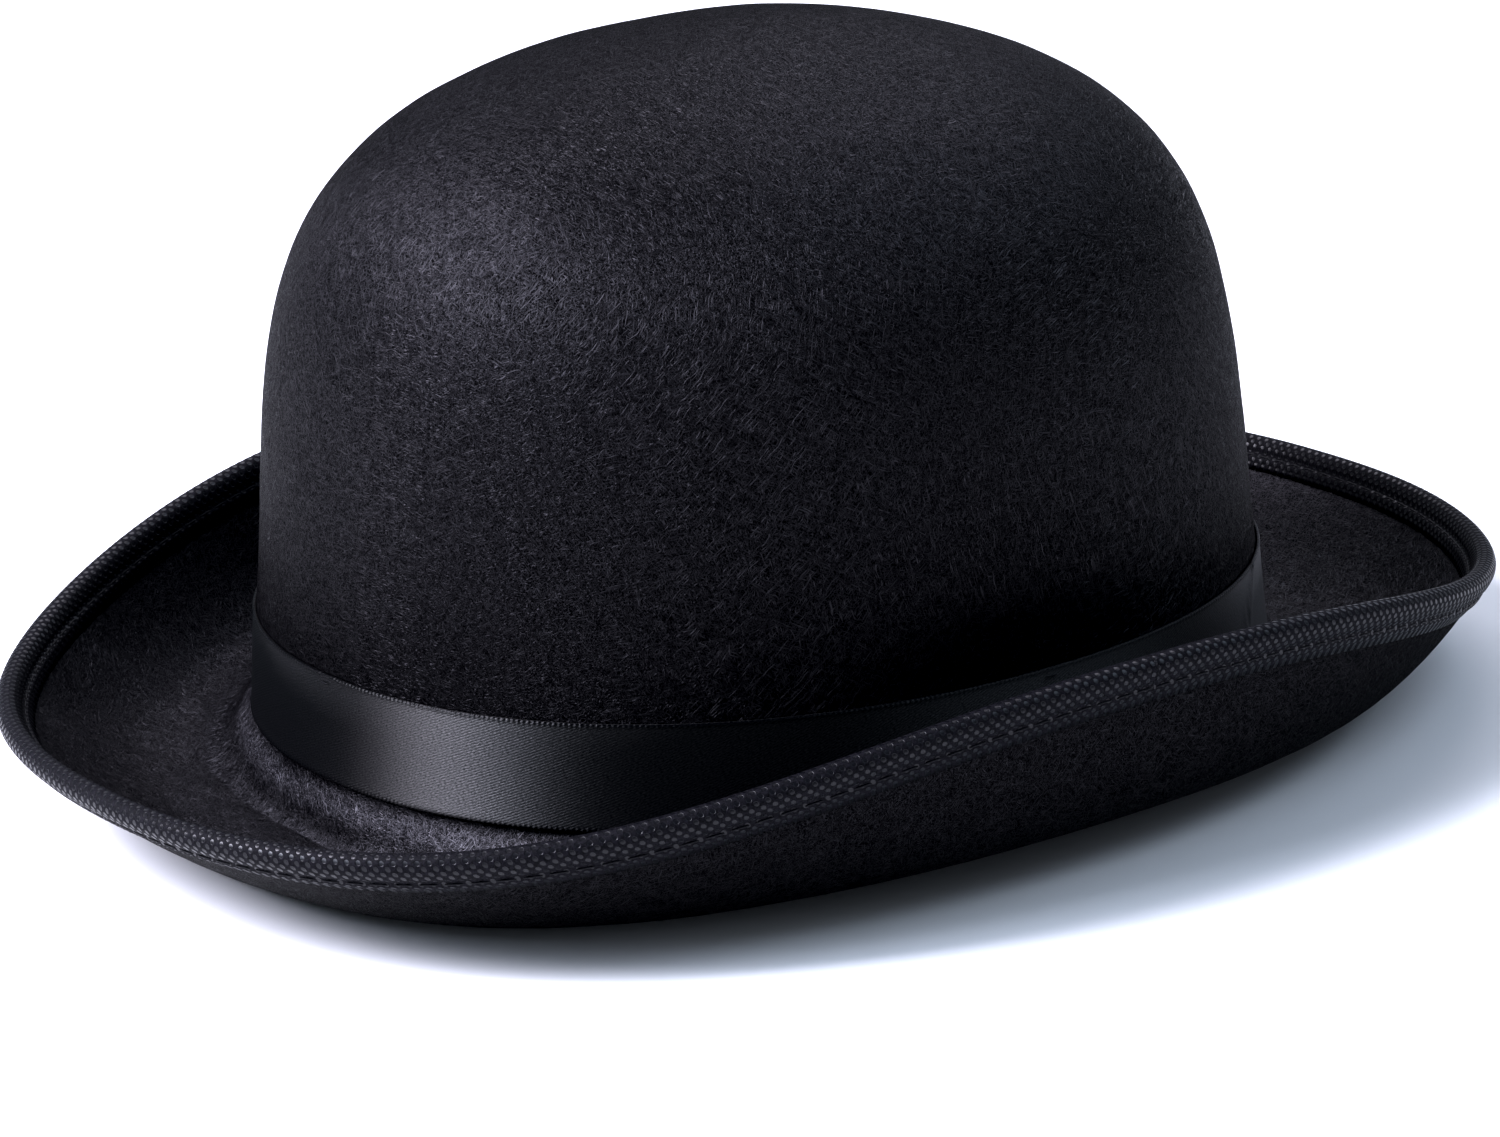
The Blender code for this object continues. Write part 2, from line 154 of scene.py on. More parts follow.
class Brim:
    """The brim's underside at a set of angles, with its directions, measured back from the top of the edge."""

    def __init__(self, angles):
        step = 0.01
        self.angles = angles
        self.points = brim_curves(angles)
        run = running_length(self.points, axis=1)
        self.length = run[:, -1]
        self.back = run[:, -1:] - run
        self.along = np.gradient(self.points, axis=1)
        around = brim_curves(angles + step) - brim_curves(angles - step)
        self.normals = np.cross(self.along, around)
        self.along /= np.linalg.norm(self.along, axis=2, keepdims=True)
        self.normals /= np.linalg.norm(self.normals, axis=2, keepdims=True)

    def read(self, values, distances):
        """Values at distances back from the top of the edge: one row of distances for each angle."""
        out = np.empty((*distances.shape, 3))
        for k in range(len(self.angles)):
            back = self.back[k][::-1]
            for axis in range(3):
                out[k, :, axis] = np.interp(distances[k], back, values[k, ::-1, axis])
        return out

    def section(self, run, height):
        """Points round the felt's edge. Run is measured from the edge's middle, negative underneath, and height
        is the distance from the middle of the felt. Both are one row, or one row for each angle."""
        run = np.broadcast_to(run, (len(self.angles), np.shape(run)[-1]))
        height = np.broadcast_to(height, run.shape)
        radius = np.abs(height)
        arc = radius * math.pi / 2
        turn = np.clip(run / np.maximum(arc, 1e-6), -1, 1) * math.pi / 2
        leg = np.maximum(np.abs(run) - arc, 0)
        points = self.read(self.points, leg + REACH)
        normals = self.read(self.normals, leg + REACH)
        along = self.read(self.along, leg + REACH)
        normals /= np.linalg.norm(normals, axis=2, keepdims=True)
        middle = points + normals * FELT / 2
        out = along * np.cos(turn)[..., None] + normals * np.sin(turn)[..., None]
        return middle + out * radius[..., None], out


# ---------------------------------------------------------------- meshes

def smooth_noise(points, size, seed=0.0, octaves=2):
    """A smooth random value from about -1 to 1 at each point, with lumps of a size."""
    shift = Vector((seed * 7.31, seed * 3.17, seed * 11.7))
    flat = points.reshape(-1, 3) / size
    values = [noise.fractal(Vector(p) + shift, 1.0, 2.0, octaves) for p in flat]
    return np.array(values).reshape(points.shape[:-1])


def grid_faces(rows, columns, closed, first=0):
    """Quads of a grid whose points are numbered row by row."""
    across = columns if closed else columns - 1
    i, j = np.meshgrid(np.arange(rows - 1), np.arange(across), indexing="ij")
    k = (j + 1) % columns
    here, after = i * columns, (i + 1) * columns
    quads = np.stack([here + j, here + k, after + k, after + j], axis=-1)
    return quads.reshape(-1, 4) + first


def add_mesh(name, points, faces, material):
    mesh = bpy.data.meshes.new(name)
    mesh.from_pydata(np.asarray(points).reshape(-1, 3).tolist(), [], faces)
    mesh.validate()
    mesh.update()
    mesh.materials.append(material)
    mesh.shade_smooth()
    piece = bpy.data.objects.new(name, mesh)
    bpy.context.scene.collection.objects.link(piece)
    return piece


def closed_shell(front, back, closed, poles=None):
    """Points and faces of a solid between two grids with as many columns each, front[row, column] facing out.
    Poles are the points that close the first row of each grid."""
    columns = front.shape[1]
    count = front.shape[0] * columns
    points = np.concatenate([front.reshape(-1, 3), back.reshape(-1, 3)])
    faces = [grid_faces(len(front), columns, closed), grid_faces(len(back), columns, closed, count)[:, ::-1]]
    ring = np.arange(columns)
    ends = ring if closed else ring[:-1]
    after = (ends + 1) % columns
    last, back_last = count - columns, count + (len(back) - 1) * columns
    faces.append(np.stack([ends + last, after + last, after + back_last, ends + back_last], axis=-1))
    if poles is None:
        faces.append(np.stack([after, ends, ends + count, after + count], axis=-1))
    else:
        over = np.full_like(ends, len(points))
        faces.append(np.stack([over, after, ends], axis=-1))
        faces.append(np.stack([over + 1, ends + count, after + count], axis=-1))
        points = np.concatenate([points, poles])
    faces = [face for group in faces for face in group.tolist()]
    if not closed:
        left = [r * columns for r in range(len(front))]
        left += [count + r * columns for r in reversed(range(len(back)))]
        faces.append(left)
        faces.append([v + columns - 1 for v in reversed(left)])
    return points, faces


def tube(path, side, radius, facets, closed):
    """Points and faces of a round cord along a path, with a direction across it for each point."""
    along = np.roll(path, -1, axis=0) - np.roll(path, 1, axis=0) if closed else np.gradient(path, axis=0)
    along /= np.linalg.norm(along, axis=1, keepdims=True)
    up = np.cross(along, side)
    up /= np.linalg.norm(up, axis=1, keepdims=True)
    side = np.cross(up, along)
    turns = np.arange(facets) * 2 * math.pi / facets
    radius = np.broadcast_to(np.reshape(radius, (-1, 1, 1)), (len(path), 1, 1))
    out = side[:, None] * np.cos(turns)[:, None] + up[:, None] * np.sin(turns)[:, None]
    rings = path[:, None] + radius * out
    if closed:
        rings = np.concatenate([rings, rings[:1]])
        faces = grid_faces(len(rings), facets, True) % (len(path) * facets)
        return rings[:-1], faces.tolist()
    faces = grid_faces(len(rings), facets, True).tolist()
    last = (len(path) - 1) * facets
    return rings, [*faces, list(range(facets))[::-1], [last + k for k in range(facets)]]


def uv_from(piece, u, v):
    """A UV map from one value of u and v for each vertex."""
    layer = piece.data.uv_layers.new(name="surface")
    index = np.empty(len(piece.data.loops), np.int64)
    piece.data.loops.foreach_get("vertex_index", index)
    layer.data.foreach_set("uv", np.stack([u[index], v[index]], axis=-1).astype(np.float32).ravel())


def attribute(piece, name, values):
    layer = piece.data.attributes.new(name, "FLOAT", "POINT")
    layer.data.foreach_set("value", np.asarray(values, np.float32).ravel())


# ---------------------------------------------------------------- materials

WAVE_UNIT = math.pi / 10  # from one band of a wave texture to the next at a scale of 1


class Nodes:
    """A short way to write a material's nodes."""

    def __init__(self, name, colour, roughness):
        self.material = bpy.data.materials.new(name)
        self.material.use_nodes = True
        self.tree = self.material.node_tree
        self.shader = self.tree.nodes["Principled BSDF"]
        self.shader.inputs["Base Color"].default_value = (*colour, 1.0)
        self.shader.inputs["Roughness"].default_value = roughness
        self.material.diffuse_color = (*colour, 1.0)

    def add(self, kind, inputs=None, **settings):
        node = self.tree.nodes.new(kind)
        for key, value in settings.items():
            setattr(node, key, value)
        for key, value in (inputs or {}).items():
            self.join(value, node.inputs[key])
        return node

    def join(self, value, socket):
        if isinstance(value, bpy.types.NodeSocket):
            self.tree.links.new(value, socket)
        else:
            socket.default_value = value

    def maths(self, operation, first, second=0.0, third=0.0):
        node = self.add("ShaderNodeMath", operation=operation)
        for value, socket in zip((first, second, third), node.inputs):
            self.join(value, socket)
        return node.outputs[0]

    def remap(self, value, low, high, to_low, to_high):
        return self.add("ShaderNodeMapRange", {
            "Value": value, "From Min": low, "From Max": high, "To Min": to_low, "To Max": to_high,
        }).outputs[0]

    def blend(self, share, first, second):
        node = self.add("ShaderNodeMix", data_type="RGBA")
        self.join(share, node.inputs[0])
        self.join(first, node.inputs[6])
        self.join(second, node.inputs[7])
        return node.outputs[2]

    def set(self, **inputs):
        for key, value in inputs.items():
            self.join(value, self.shader.inputs[key.replace("_", " ")])

    def vector(self, operation, first, second, output=0):
        return self.add("ShaderNodeVectorMath", {0: first, 1: second}, operation=operation).outputs[output]

    def coordinates(self, output):
        return self.add("ShaderNodeTexCoord").outputs[output]

    def surface(self):
        return self.add("ShaderNodeUVMap", uv_map="surface").outputs[0]

    def mapped(self, vector, **settings):
        inputs = {"Vector": vector, **{key.title(): value for key, value in settings.items()}}
        return self.add("ShaderNodeMapping", inputs).outputs[0]

    def noise(self, vector, scale, detail, distortion=0.0, output=0):
        return self.add("ShaderNodeTexNoise", {
            "Vector": vector, "Scale": scale, "Detail": detail, "Distortion": distortion,
        }).outputs[output]

    def waves(self, vector, pitch, bands, distortion, detail_scale=1.0):
        return self.add("ShaderNodeTexWave", {
            "Vector": vector, "Scale": WAVE_UNIT / pitch, "Distortion": distortion,
            "Detail Scale": detail_scale,
        }, bands_direction=bands).outputs[1]

    def bump(self, height, distance, strength):
        inputs = {"Height": height, "Distance": distance, "Strength": strength}
        return self.add("ShaderNodeBump", inputs).outputs[0]


FIBRE_DIRECTIONS = 16  # spread evenly over half a sphere; those that lie along the surface show
GOLDEN_TURN = math.pi * (3 - math.sqrt(5))
FIBRE_LENGTH = 3.5 * MM  # twice this in every second direction
FIBRE_WIDTH = 0.16 * MM
FIBRE_BEND = 1.3 * MM
LAYER_SHIFT = (0.01, 0.023, 0.017)  # from one direction's noise to the next one's
STEEP_LOSS = 0.5  # how much lower a fibre lies that stands up out of the surface
FIBRE_START, FIBRE_FULL = 0.565, 0.785  # heights of the noise where a fibre starts to show and shows fully
FELT_DEEP = (0.00012, 0.00012, 0.00025, 1)
FELT_FIBRE = (0.0008, 0.00065, 0.001, 1)
SHINE_FACING, SHINE_GRAZING = 0.31, 0.07


def felt_material():
    """Needle felt: short fibres pressed at random, brushed into a soft nap."""
    m = Nodes("black needle felt", (0.016, 0.015, 0.017), 0.8)
    place = m.coordinates("Object")
    bend = m.vector("SUBTRACT", m.noise(place, scale=260.0, detail=1.0, output="Color"), (0.5, 0.5, 0.5))
    bent = m.vector("ADD", place, m.vector("MULTIPLY", bend, (FIBRE_BEND, FIBRE_BEND, FIBRE_BEND)))
    facing_out = m.coordinates("Normal")
    height = along = None
    for k in range(FIBRE_DIRECTIONS):
        up = (k + 0.5) / FIBRE_DIRECTIONS
        lie = Vector((*(math.sqrt(1 - up * up) * f(k * GOLDEN_TURN) for f in (math.cos, math.sin)), up))
        turn = Vector((1, 0, 0)).rotation_difference(lie).to_euler()
        spot = m.add("ShaderNodeMapping", {
            "Vector": bent, "Location": tuple(k * shift for shift in LAYER_SHIFT), "Rotation": turn,
            "Scale": (FIBRE_LENGTH * (1 + k % 2), FIBRE_WIDTH, FIBRE_WIDTH),
        }, vector_type="TEXTURE").outputs[0]
        steep = m.vector("DOT_PRODUCT", facing_out, lie, output="Value")
        layer = m.noise(spot, scale=1.0, detail=0.0)
        layer = m.maths("MULTIPLY_ADD", m.maths("MULTIPLY", steep, steep), -STEEP_LOSS, layer)
        lie = (*lie, 1.0)
        along = lie if height is None else m.blend(m.maths("GREATER_THAN", layer, height), along, lie)
        height = layer if height is None else m.maths("MAXIMUM", height, layer)
    along = m.add("ShaderNodeVectorTransform", {0: along}, vector_type="VECTOR", convert_from="OBJECT",
                  convert_to="WORLD").outputs[0]
    share = m.remap(height, FIBRE_START, FIBRE_FULL, 0.0, 1.0)
    # This attribute is partly nap gloss and partly painted light: it scales the felt's colour and shine,
    # painting a highlight on the crown's top and on the roll below the ribbon.
    nap_gloss_and_painted_light = m.add("ShaderNodeAttribute", attribute_name="nap_gloss_and_painted_light").outputs["Fac"]
    relief = m.remap(height, 0.5, 0.85, 0, 1)
    relief = m.maths("MULTIPLY_ADD", m.noise(place, scale=260.0, detail=2.0), 0.5, relief)
    relief = m.maths("MULTIPLY_ADD", m.noise(place, scale=3000.0, detail=1.0), 0.15, relief)
    patches = m.remap(m.noise(place, scale=30.0, detail=3.0), 0.35, 0.7, 0.0, 0.3)
    shade = m.blend(patches, m.blend(share, FELT_DEEP, FELT_FIBRE), FELT_DEEP)
    shade = m.add("ShaderNodeVectorMath", {0: shade, "Scale": nap_gloss_and_painted_light}, operation="SCALE").outputs[0]
    m.set(Base_Color=shade, Roughness=m.remap(share, 0, 1, 0.58, 0.46), Normal=m.bump(relief, 0.08 * MM, 1.0))
    facing = m.add("ShaderNodeLayerWeight", {"Blend": 0.5}).outputs["Facing"]
    shine = m.remap(m.maths("POWER", facing, 2.0), 0.0, 1.0, SHINE_FACING, SHINE_GRAZING)
    clumps = m.remap(m.noise(bent, scale=700.0, detail=2.0), 0.3, 0.7, 0.72, 1.28)
    shine = m.maths("MULTIPLY", m.maths("MULTIPLY", nap_gloss_and_painted_light, shine), clumps)
    m.set(Specular_IOR_Level=m.maths("MULTIPLY", m.remap(share, 0, 1, 0.07, 1.0), shine))
    m.set(Specular_Tint=(0.98, 0.95, 1.04, 1.0), Anisotropic=1.0, Anisotropic_Rotation=0.25, Tangent=along)
    m.set(Sheen_Weight=0.003, Sheen_Roughness=0.4, Sheen_Tint=(1.0, 0.88, 1.0, 1.0))
    return m.material


TWILL = 0.48 * MM
TWILL_SLANT = math.radians(-22)


def ribbon_material():
    """Single-face satin: threads run along the ribbon and bind in a fine slanting twill."""
    m = Nodes("black satin", (0.006, 0.007, 0.010), 0.3)
    surface = m.surface()
    turned = m.mapped(surface, rotation=(0, 0, TWILL_SLANT))
    twill = m.waves(turned, TWILL, "Y", distortion=0.6, detail_scale=3.0)
    strands = m.noise(m.mapped(surface, scale=(180.0, 4200.0, 1.0)), scale=1.0, detail=2.0)
    specks = m.noise(m.mapped(turned, scale=(1800.0, 6500.0, 1.0)), scale=1.0, detail=2.0)
    height = m.maths("MULTIPLY_ADD", specks, 1.8, m.maths("MULTIPLY_ADD", strands, 0.6, twill))
    m.set(Base_Color=(0.0006, 0.0007, 0.0012, 1), Roughness=m.remap(twill, 0, 1, 0.34, 0.44))
    tangent = m.add("ShaderNodeTangent", direction_type="UV_MAP", uv_map="surface").outputs[0]
    m.set(Normal=m.bump(height, 0.08 * MM, 0.3), Anisotropic=1.0, Anisotropic_Rotation=0.25, Tangent=tangent)
    v = m.add("ShaderNodeSeparateXYZ", {0: surface}).outputs[1]
    to_edge = m.maths("MINIMUM", v, m.maths("SUBTRACT", band_high[2] - band_low[2], v))
    shine = m.remap(to_edge, 0.2 * MM, 1.2 * MM, 0.12, 0.5)  # the picot edge is duller
    shine = m.maths("MULTIPLY", shine, m.remap(specks, 0.35, 0.65, 0.45, 1.55))
    m.set(Specular_IOR_Level=m.maths("MULTIPLY", shine, m.remap(twill, 0.0, 1.0, 0.8, 1.2)))
    return m.material


TAPE_BLACK = (0.0025, 0.0025, 0.004)
TAPE_GROUND = ((0.0013, 0.0013, 0.002, 1), (0.008, 0.0075, 0.0105, 1))  # between its fibres and on them


def binding_material():
    """Nonwoven tape: fibres pressed together at rows of small smooth slanting points."""
    m = Nodes("black nonwoven tape", (0.01, 0.01, 0.012), 0.6)
    parts = m.add("ShaderNodeSeparateXYZ", {0: m.surface()}).outputs
    lean = m.maths("PINGPONG", m.maths("ADD", parts[0], parts[1]), 0.5)
    rise = m.maths("PINGPONG", m.maths("SUBTRACT", parts[0], parts[1]), 0.5)
    away = m.maths("ADD", m.maths("POWER", m.maths("DIVIDE", lean, 0.3), 2.0),
                   m.maths("POWER", m.maths("DIVIDE", rise, 0.36), 2.0))
    point = m.remap(away, 0.75, 1.25, 1.0, 0.0)
    strands = m.noise(m.coordinates("Object"), scale=1500.0, detail=3.0, distortion=1.5)
    ground = m.blend(m.remap(strands, 0.35, 0.65, 0.0, 1.0), *TAPE_GROUND)
    m.set(Base_Color=m.blend(point, ground, (*TAPE_BLACK, 1)))
    m.set(Roughness=m.remap(point, 0, 1, 0.65, 0.29), Specular_IOR_Level=m.remap(point, 0, 1, 0.07, 0.26))
    height = m.maths("MULTIPLY", m.maths("SUBTRACT", 1.0, point), m.maths("MULTIPLY_ADD", strands, 0.9, 0.4))
    m.set(Normal=m.bump(height, 0.12 * MM, 0.8))
    return m.material


def thread_material(name, colour):
    m = Nodes(name, colour, 0.5)
    twist = m.noise(m.coordinates("Object"), scale=4000.0, detail=1.0)
    m.set(Normal=m.bump(twist, 0.06 * MM, 0.8), Specular_IOR_Level=0.15)
    return m.material


def cloth_material(name, colour, pitch):
    """A plain ribbed band."""
    m = Nodes(name, colour, 0.75)
    surface = m.surface()
    ribs = m.waves(surface, pitch, "X", distortion=0.3)
    darker = tuple(c * 0.6 for c in colour)
    m.set(Base_Color=m.blend(ribs, (*darker, 1), (*colour, 1)))
    weave = m.noise(surface, scale=2500.0, detail=2.0)
    m.set(Normal=m.bump(m.maths("MULTIPLY_ADD", weave, 0.5, ribs), 0.1 * MM, 0.6))
    return m.material


def velour_material():
    m = Nodes("white velour", (0.86, 0.86, 0.85), 0.95)
    pile = m.noise(m.coordinates("Object"), scale=1400.0, detail=3.0)
    m.set(Base_Color=m.blend(pile, (0.78, 0.78, 0.77, 1), (0.9, 0.9, 0.89, 1)))
    m.set(Normal=m.bump(pile, 0.3 * MM, 0.7), Sheen_Weight=0.6, Sheen_Roughness=0.5)
    return m.material


def label_material():
    """White label satin, with nothing printed on it."""
    m = Nodes("white label satin", (0.8, 0.8, 0.79), 0.4)
    strands = m.noise(m.mapped(m.surface(), scale=(200.0, 5000.0, 1.0)), scale=1.0, detail=2.0)
    m.set(Base_Color=m.blend(strands, (0.7, 0.7, 0.69, 1), (0.86, 0.86, 0.85, 1)))
    m.set(Normal=m.bump(strands, 0.05 * MM, 0.5), Specular_IOR_Level=0.6)
    return m.material


# ---------------------------------------------------------------- the pieces

def place_piece(name, points, faces, material, node):
    piece = add_mesh(name, points, faces, material)
    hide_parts(node)
    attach(piece, "root")
    return piece


def smooth_step(values, low, high):
    share = np.clip((values - low) / (high - low), 0, 1)
    return share * share * (3 - 2 * share)


def hump(values, middle, width):
    return np.exp(-(((values - middle) / width) ** 2))


BACK_ROWS = (0, 0.5, 1)  # where the rows of a strip's hidden side lie, as shares of its width

FELT_COLUMNS = 400
CROWN_ROWS = 96
BRIM_ROWS = 64
INNER_STEP = 3  # the felt's hidden side has every third row
FOLD_ROUNDS = 5  # how often the turn from crown to brim is evened out
FOLD_BEFORE, FOLD_AFTER = 6, 8  # rows that this takes in on each side
BRIM_SPACING = 1.3  # above 1 the brim's rows lie closer towards the crown
# Places on the felt are distances from the break, positive on the brim.
ROLL, ROLL_PLACE, ROLL_WIDTH = 0.95 * MM, 6.0 * MM, 4.0 * MM  # the bulge below the ribbon
GROOVE, GROOVE_PLACE, GROOVE_WIDTH = 0.5 * MM, 0.9 * MM, 1.1 * MM  # the groove between it and the crown
UNEVEN = 0.3 * MM
EVEN_ABOVE, EVEN_BELOW = (-27 * MM, -22 * MM), (1 * MM, 4 * MM)  # between them the felt is even, for the ribbon
CREASE = 0.5 * MM  # shallow creases that run outwards over the brim
CREASE_SPREAD, CREASE_LENGTH = 9, 40 * MM  # the more spread, the more creases round the brim
CREASES_START = (6 * MM, 16 * MM)
EDGE_EVEN = (6 * MM, 14 * MM)  # from the edge, where the binding holds the felt
CROWN_GLOSS_AND_PAINTED_LIGHT = (1.25, 1.6)  # how glossy the nap is at the foot of the crown and at its top; it also scales the felt's colour, so the top is painted lighter than the foot, as a painted highlight
CROWN_PAINTED_LIGHT_HEIGHTS = (20 * MM, 120 * MM)
# The roll's value is a painted highlight: it makes the felt glossier and lighter in colour along the ridge of
# the roll below the ribbon.
BRIM_GLOSS, ROLL_PAINTED_HIGHLIGHT, UNDER_GLOSS = 2.55, 3.45, 0.9
BRIM_GLOSS_START = (8 * MM, 20 * MM)
ROLL_HIGHLIGHT_PLACE, ROLL_HIGHLIGHT_WIDTH = 5.0 * MM, 2.6 * MM


def felt_inside(angles):
    """Rings of points over the inside of the crown and the underside of the brim."""
    brim = Brim(angles)
    top = CROWN_HEIGHT - FELT
    turns = np.linspace(0, math.pi / 2, PROFILE_SAMPLES)
    heights = top * np.sin(turns) ** (2 / SHOULDER_UP)
    widths = np.array([crown_scale(h, top) for h in heights]) * CROWN_HALF[1]
    run = running_length(np.stack([heights, widths], axis=-1))
    spots = np.linspace(run[-1], 0, CROWN_ROWS + 1)[1:]
    rings = []
    for height in np.interp(spots, run, heights):
        full = CROWN_HALF * crown_scale(height, top)
        ring = oval(np.maximum(full - FELT, full * 0.5), CROWN_FULLNESS, angles)
        ring[:, 2] = BREAK + height
        rings.append(ring)
    share = np.linspace(0, 1, BRIM_ROWS)[None, :] ** BRIM_SPACING
    distances = brim.length[:, None] * (1 - share) + REACH * share
    rings = np.concatenate([np.array(rings), brim.read(brim.points, distances).transpose(1, 0, 2)])
    fold = CROWN_ROWS - 1
    for _ in range(FOLD_ROUNDS):
        before, here, after = (rings[fold - FOLD_BEFORE + k:fold + FOLD_AFTER + k] for k in (-1, 0, 1))
        rings[fold - FOLD_BEFORE:fold + FOLD_AFTER] = (before + 2 * here + after) / 4
    rings[..., 2] = np.maximum(rings[..., 2], 0.0)
    return rings


def make_felt(material):
    angles = np.linspace(0, 2 * math.pi, FELT_COLUMNS, endpoint=False)
    inside = felt_inside(angles)
    down = np.gradient(inside, axis=0)
    around = np.roll(inside, -1, axis=1) - np.roll(inside, 1, axis=1)
    normals = np.cross(down, around)
    normals /= np.linalg.norm(normals, axis=2, keepdims=True)
    outside = inside + normals * FELT
    run = running_length(outside)
    below = run - run[CROWN_ROWS - 1]
    free = smooth_step(run[-1] - run, *EDGE_EVEN)
    clear = 1 - smooth_step(below, *EVEN_ABOVE) * (1 - smooth_step(below, *EVEN_BELOW))
    spread = [np.broadcast_to(CREASE_SPREAD * f(angles), run.shape) for f in (np.cos, np.sin)]
    creases = smooth_noise(np.stack([*spread, run / CREASE_LENGTH], axis=-1), 1.0, seed=5.0, octaves=3)
    soft = 1 + 0.5 * smooth_noise(outside, 20 * MM, seed=9.0)
    lift = UNEVEN * smooth_noise(outside, 30 * MM, seed=1.0, octaves=3) * clear
    lift += CREASE * creases * smooth_step(below, *CREASES_START)
    lift += ROLL * hump(below, ROLL_PLACE, ROLL_WIDTH) * soft - GROOVE * hump(below, GROOVE_PLACE, GROOVE_WIDTH)
    outside = outside + normals * (lift * free)[..., None]
    kept = sorted({*range(0, len(inside), INNER_STEP), len(inside) - 1})
    poles = np.array([[0, 0, felt_high[2]], [0, 0, felt_high[2] - FELT]])
    points, faces = closed_shell(outside[:, ::-1], inside[kept][:, ::-1], True, poles)
    piece = place_piece("felt_crown_and_brim", points, faces, material, "felt_body")
    # Gloss for each point, scaling the felt's colour and shine: nap gloss on the brim, with painted highlight
    # on the crown's top and on the roll's ridge.
    foot, top = CROWN_GLOSS_AND_PAINTED_LIGHT
    nap_gloss_and_painted_light = foot + (top - foot) * smooth_step(outside[..., 2] - BREAK, *CROWN_PAINTED_LIGHT_HEIGHTS)
    nap_gloss_and_painted_light += (BRIM_GLOSS - 1) * smooth_step(below, *BRIM_GLOSS_START)
    nap_gloss_and_painted_light += (ROLL_PAINTED_HIGHLIGHT - 1) * hump(below, ROLL_HIGHLIGHT_PLACE, ROLL_HIGHLIGHT_WIDTH)
    under = np.where(np.arange(len(inside))[kept, None] < CROWN_ROWS, 1.0, UNDER_GLOSS) * np.ones(FELT_COLUMNS)
    attribute(piece, "nap_gloss_and_painted_light", np.concatenate([nap_gloss_and_painted_light[:, ::-1].ravel(), under.ravel(), [1.0, 1.0]]))


EDGE_COLUMNS = 1620
EDGE_ROWS = 32
EDGE_INNER_ROWS = 9
POINT_STEP = 4  # columns and rows of the mesh for each of the tape's pressed points
POINT_DEPTH = 0.12 * MM
SWELL = 0.1 * MM  # how far the tape stands out between its seams
SEAM_RUN = REACH * math.pi / 2 + 2.6 * MM  # from the edge's middle to the seam
SEAM_DEPTH, SEAM_WIDTH = 0.5 * MM, 0.75 * MM
END_DEPTH, END_WIDTH = 0.55 * MM, 1.6 * MM  # the tape's own edges sink into the felt
TAPE_LAP, TAPE_LAP_HALF = 0.45 * MM, 4.2 * MM  # how far the lapped end stands out, and half its length
STITCHES = 189  # round the edge, about 4.6 mm each
STITCH_POINTS = 12
STITCH_SINK = 0.45 * MM  # how far the thread's middle lies below the tape's face before it arches
THREAD = 0.22 * MM  # its radius
STITCH_ARCH, STITCH_DIP = 0.5, 3.6  # in radii of the thread


def edge_angles(count):
    """Angles evenly spaced along the brim's edge, and the length of the edge."""
    fine = np.linspace(0, 2 * math.pi, EDGE_SAMPLES)
    run = running_length(brim_curves(fine)[:, -1])
    return np.interp(np.linspace(0, run[-1], count, endpoint=False), run, fine), run[-1]


def make_binding(material):
    angles, whole = edge_angles(EDGE_COLUMNS)
    brim = Brim(angles)
    reach = LEG + REACH * math.pi / 2
    rows = np.linspace(-reach, reach, EDGE_ROWS + 1)
    u = np.arange(EDGE_COLUMNS)[:, None] / POINT_STEP
    v = np.arange(EDGE_ROWS + 1)[None, :] / POINT_STEP
    lean, rise = ((1 + np.cos(2 * math.pi * turns)) / 2 for turns in (u + v, u - v))
    seam = hump(np.abs(rows), SEAM_RUN, SEAM_WIDTH)
    swell = np.clip(1 - np.abs(rows) / SEAM_RUN, 0, 1) ** 0.5
    ends = smooth_step(np.abs(rows), reach - END_WIDTH, reach)
    from_lap = np.abs((angles - RIGHT + math.pi) % (2 * math.pi) - math.pi) * whole / (2 * math.pi)
    lift = (SWELL * swell - SEAM_DEPTH * seam - END_DEPTH * ends) - POINT_DEPTH * lean**1.3 * rise**0.8
    lift = lift + TAPE_LAP * (from_lap < TAPE_LAP_HALF)[:, None]
    middle, out = brim.section(rows, REACH * np.sign(rows + 1e-9))
    inner_rows = np.linspace(-reach, reach, EDGE_INNER_ROWS)
    inner, _ = brim.section(inner_rows, (REACH - BINDING) * np.sign(inner_rows + 1e-9))
    front = (middle + out * lift[..., None]).transpose(1, 0, 2)
    points, faces = closed_shell(front, inner.transpose(1, 0, 2), True)
    piece = place_piece("edge_tape", points, faces, material, "edge_binding")
    across = np.concatenate([v.ravel(), np.linspace(0, v.max(), EDGE_INNER_ROWS)])
    uv_from(piece, np.tile(u.ravel(), len(across)), np.repeat(across, EDGE_COLUMNS))


def stitched(lengths, pitch):
    """The lift of a running stitch above its cloth: long low arches, and a dip into the cloth at each hole."""
    part = np.abs(2 * (lengths / pitch % 1) - 1)
    return THREAD * (STITCH_ARCH - STITCH_DIP * part**6)


def make_binding_stitches(name, node, side, material):
    angles, _ = edge_angles(STITCHES * STITCH_POINTS)
    lift = stitched(np.arange(len(angles)), STITCH_POINTS)
    run = np.full((len(angles), 1), side * SEAM_RUN)
    path, out = Brim(angles).section(run, side * (REACH - STITCH_SINK + lift)[:, None])
    points, faces = tube(path[:, 0], out[:, 0], THREAD, 6, True)
    place_piece(name, points, faces, material, node)


RIBBON_COLUMNS = 2440
